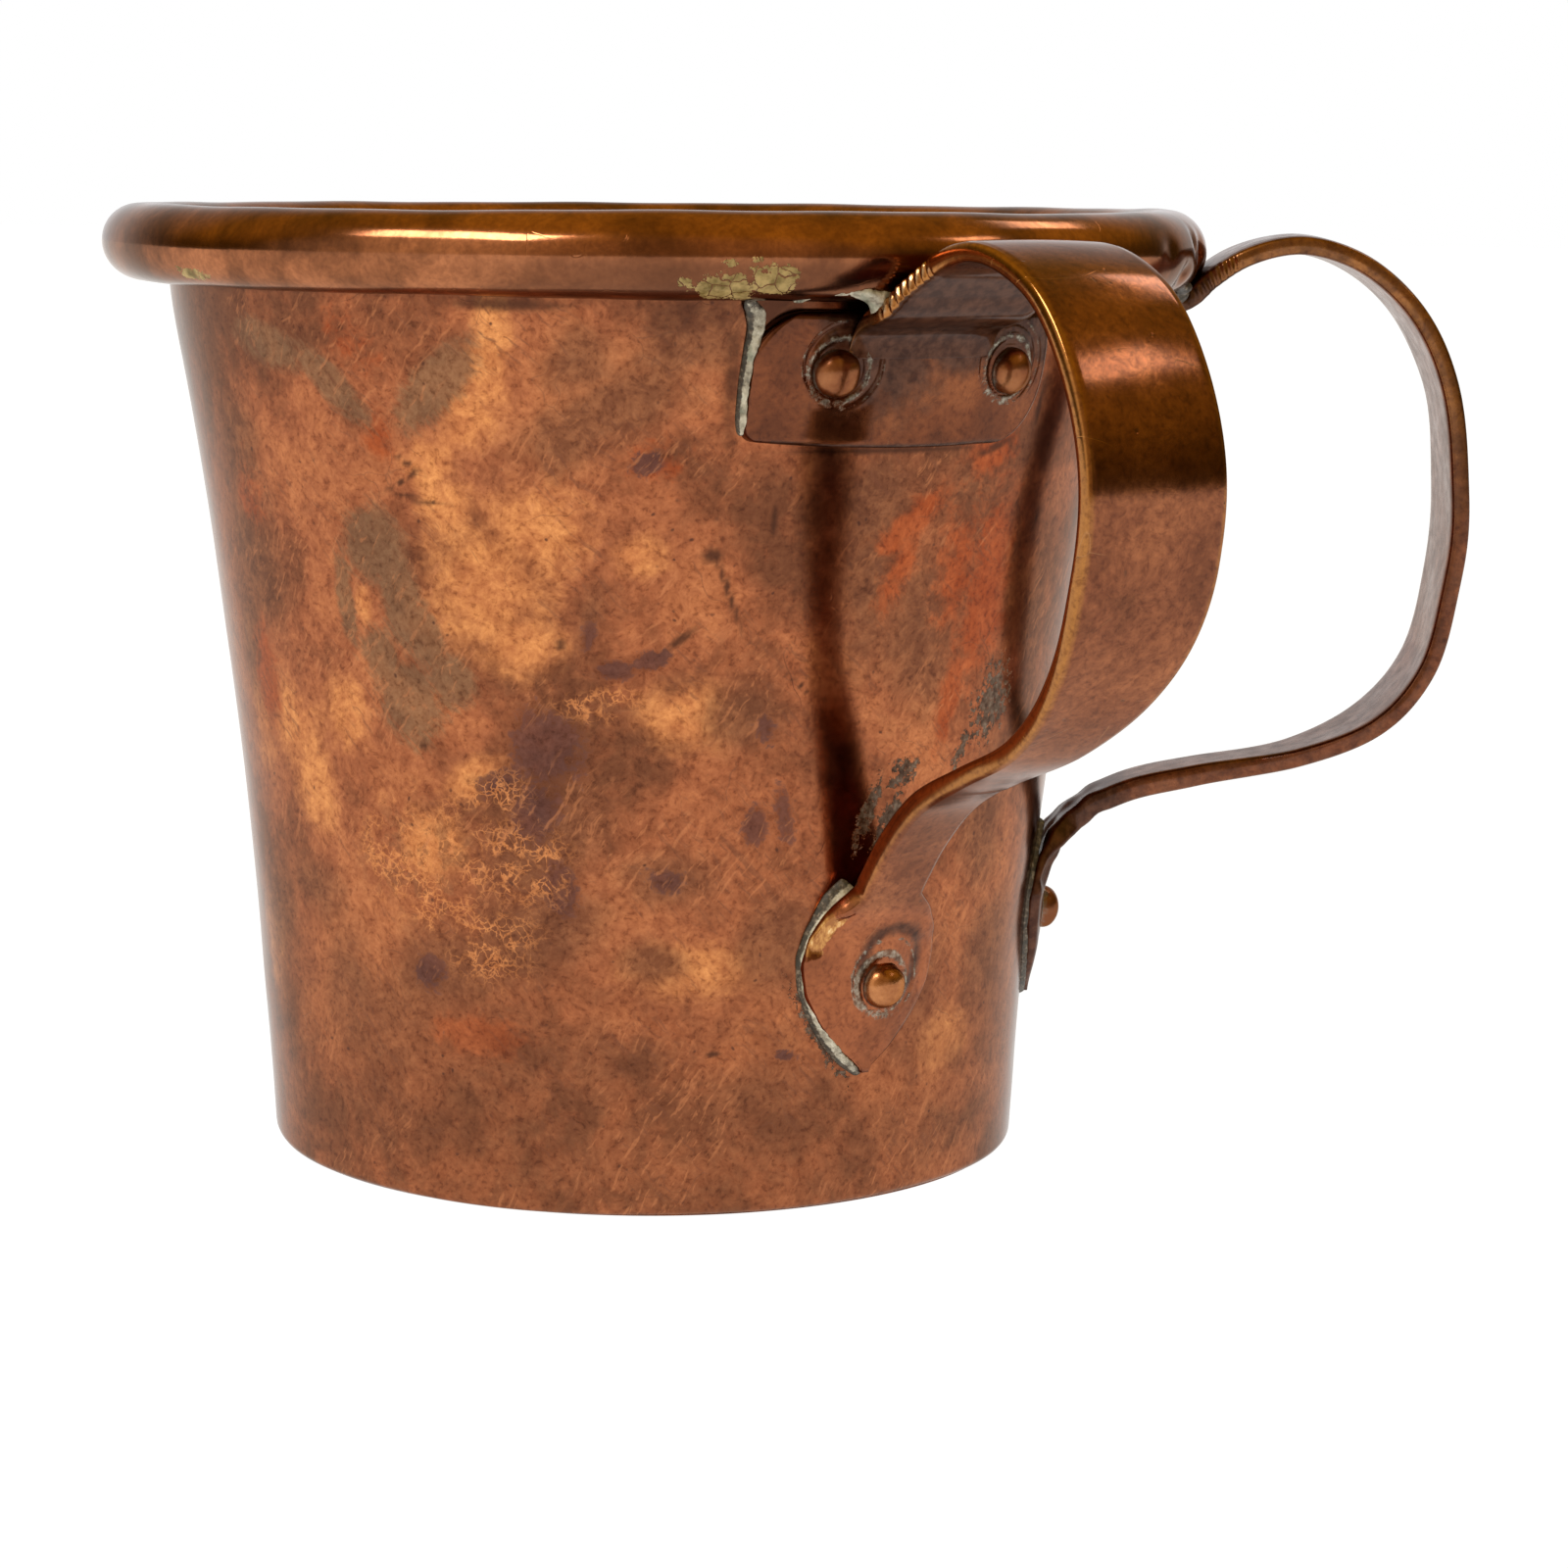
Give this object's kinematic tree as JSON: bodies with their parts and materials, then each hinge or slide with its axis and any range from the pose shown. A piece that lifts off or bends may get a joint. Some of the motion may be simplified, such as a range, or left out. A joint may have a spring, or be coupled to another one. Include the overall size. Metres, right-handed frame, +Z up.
{
  "type": "two-handled copper cup",
  "caption": "Tapered sheet-copper cup with a rim curled over wire and strap handles riveted and soldered on by plates under the rim and leaves near the base.",
  "frame": {"origin": "centre of the underside of the base disc, which is the plane that the cup stands on", "axes": "+Z up along the cup's axis; +X out along the side handle, to within a degree; the front handle points between +X and -Y"},
  "size_m": [0.187, 0.1736, 0.1287],
  "materials": {
    "body_copper": "old sheet copper, mottled orange-brown patina with olive and purple stains, softly glossy",
    "base_copper": "old sheet copper, scuffed dull brown",
    "handle_copper": "forged copper strap, glossy brown with worn ochre edges",
    "rivet_copper": "copper rivet, head worn bright",
    "solder": "old soft solder, grey with pale green verdigris",
    "iron_wire": "black iron wire"
  },
  "bodies": {
    "root": {"body_shell": "body_copper", "rim_wire": "iron_wire", "base_disc": "base_copper", "base_solder": "solder", "front_handle": "handle_copper", "front_rivet_upper_left": "rivet_copper", "front_rivet_upper_right": "rivet_copper", "front_rivet_lower": "rivet_copper", "front_plate_solder": "solder", "front_rim_solder": "solder", "front_leaf_solder": "solder", "side_handle": "handle_copper", "side_rivet_upper_left": "rivet_copper", "side_rivet_upper_right": "rivet_copper", "side_rivet_lower": "rivet_copper", "side_plate_solder": "solder", "side_rim_solder": "solder", "side_leaf_solder": "solder"}
  },
  "joints": []
}
